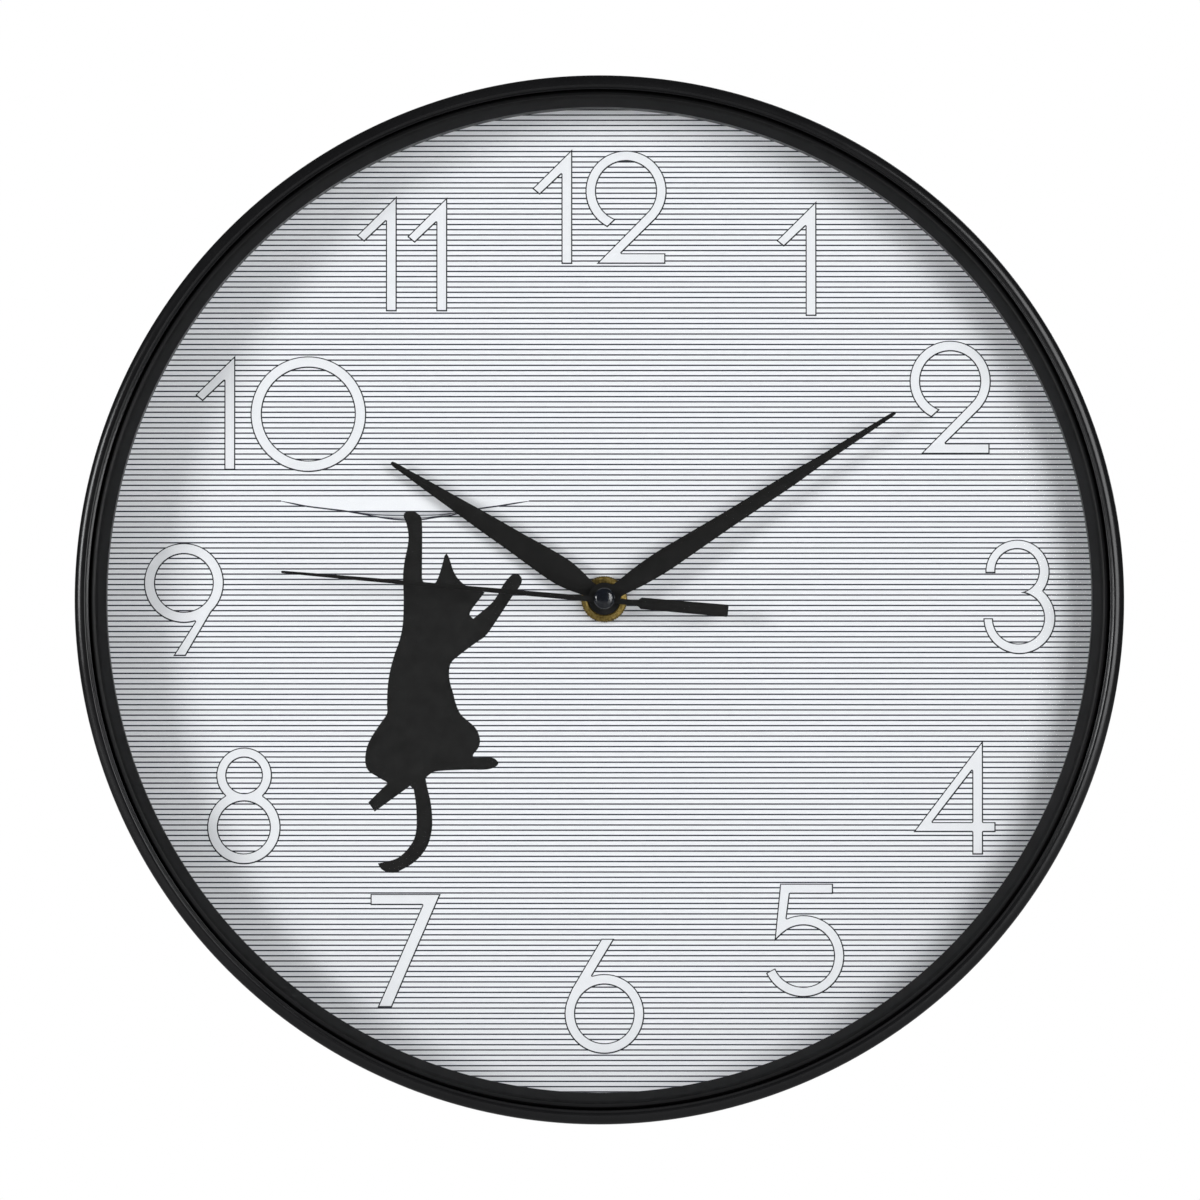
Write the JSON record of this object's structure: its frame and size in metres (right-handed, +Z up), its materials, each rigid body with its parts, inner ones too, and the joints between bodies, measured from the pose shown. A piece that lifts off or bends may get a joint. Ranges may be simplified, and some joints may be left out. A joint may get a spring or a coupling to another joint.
{
  "type": "wall clock",
  "caption": "Round battery wall clock with a black case, striped dial printed with a cat, flat glass, three black hands and a quartz movement behind.",
  "frame": {"origin": "seat of the wall nail, the top of the keyhole slot, in the plane of the wall; the centre of the round case is 118 mm below it", "axes": "+Z up, -Y out of the dial towards the reader, +Y into the wall, +X towards the 3"},
  "size_m": [0.3, 0.0414, 0.3],
  "materials": {
    "gloss_black": "glossy black moulded plastic with faint handling marks",
    "satin_black": "satin black moulded plastic",
    "lens_glass": "clear flat glass, polished edge",
    "dial_paper": "smooth white printed sheet",
    "dial_board": "brown hardboard",
    "cover_black": "fine-textured black moulded plastic",
    "zinc_steel": "zinc plated steel",
    "movement_black": "black moulded plastic, fine spark texture",
    "brass": "plain turned brass, slightly dulled",
    "rubber": "black rubber",
    "battery_jacket": "plain blue and silver foil jacket, no marks",
    "spring_steel": "bright nickel plated steel",
    "natural_plastic": "natural acetal plastic",
    "copper": "lacquered copper wire, wound",
    "circuit_green": "green solder mask",
    "chip_resin": "black potting resin",
    "magnet": "dark grey sintered magnet",
    "hand_black": "aluminium sheet, satin black lacquer",
    "cap_black": "semi-gloss black"
  },
  "bodies": {
    "case": {"case_ring": "gloss_black", "inner_bezel": "satin_black", "lens": "lens_glass", "spacer_ring": "satin_black", "dial_sheet": "dial_paper", "dial_board": "dial_board", "rear_cover": "cover_black", "hanger_plate": "zinc_steel", "hanger_screw_left": "zinc_steel", "hanger_screw_right": "zinc_steel", "cover_screw_1": "zinc_steel", "cover_screw_2": "zinc_steel", "cover_screw_3": "zinc_steel", "cover_screw_4": "zinc_steel", "cover_screw_5": "zinc_steel", "cover_screw_6": "zinc_steel", "movement_case": "movement_black", "movement_cover": "movement_black", "center_bush": "brass", "dial_nut": "brass", "rubber_washer": "rubber", "battery_contact_neg": "spring_steel", "battery_contact_pos": "spring_steel", "coil_bobbin": "natural_plastic", "coil_winding": "copper", "coil_core": "spring_steel", "stator": "spring_steel", "circuit_board": "circuit_green", "chip_blob": "chip_resin", "quartz_crystal": "spring_steel", "middle_plate": "natural_plastic", "train_bridge": "natural_plastic"},
    "minutes": {"minute_hand": "hand_black", "minute_pipe": "brass", "center_wheel": "natural_plastic"},
    "hours": {"hour_hand": "hand_black", "hour_wheel": "natural_plastic"},
    "seconds": {"second_hand": "hand_black", "second_hand_tube": "brass", "second_hand_cap": "cap_black", "second_wheel": "natural_plastic"},
    "third": {"third_wheel": "natural_plastic"},
    "fifth": {"fifth_wheel": "natural_plastic"},
    "rotor": {"rotor_magnet": "magnet", "rotor_pinion": "natural_plastic"},
    "setting": {"minute_wheel": "natural_plastic", "setting_knob": "satin_black"},
    "battery": {"battery": "battery_jacket"}
  },
  "joints": [
    {"name": "minute_hand_turn", "type": "hinge", "parent": "case", "child": "minutes", "pos_m": [0.0014, -0.02, -0.1176], "axis": [0, 1, 0], "continuous": true},
    {"name": "hour_hand_turn", "type": "hinge", "parent": "case", "child": "hours", "pos_m": [0.0014, -0.02, -0.1176], "axis": [0, 1, 0], "continuous": true},
    {"name": "second_hand_turn", "type": "hinge", "parent": "case", "child": "seconds", "pos_m": [0.0014, -0.02, -0.1176], "axis": [0, 1, 0], "continuous": true},
    {"name": "third_wheel_turn", "type": "hinge", "parent": "case", "child": "third", "pos_m": [-0.0092, -0.009, -0.11148], "axis": [0, 1, 0], "continuous": true},
    {"name": "fifth_wheel_turn", "type": "hinge", "parent": "case", "child": "fifth", "pos_m": [0.00572, -0.008, -0.11012], "axis": [0, 1, 0], "continuous": true},
    {"name": "rotor_turn", "type": "hinge", "parent": "case", "child": "rotor", "pos_m": [0.01361, -0.009, -0.10724], "axis": [0, 1, 0], "continuous": true},
    {"name": "setting_knob_turn", "type": "hinge", "parent": "case", "child": "setting", "pos_m": [0.01436, -0.008, -0.1176], "axis": [0, 1, 0], "continuous": true},
    {"name": "battery_slide", "type": "slide", "parent": "case", "child": "battery", "axis": [0, 1, 0], "range_m": [0, 0.03]}
  ],
  "couplings": [
    {"joint": "hour_hand_turn", "follows": "minute_hand_turn", "ratio": 0.083333},
    {"joint": "setting_knob_turn", "follows": "minute_hand_turn", "ratio": -0.33333},
    {"joint": "third_wheel_turn", "follows": "minute_hand_turn", "ratio": -8},
    {"joint": "second_hand_turn", "follows": "minute_hand_turn", "ratio": 60},
    {"joint": "fifth_wheel_turn", "follows": "minute_hand_turn", "ratio": -300},
    {"joint": "rotor_turn", "follows": "minute_hand_turn", "ratio": 1800}
  ]
}
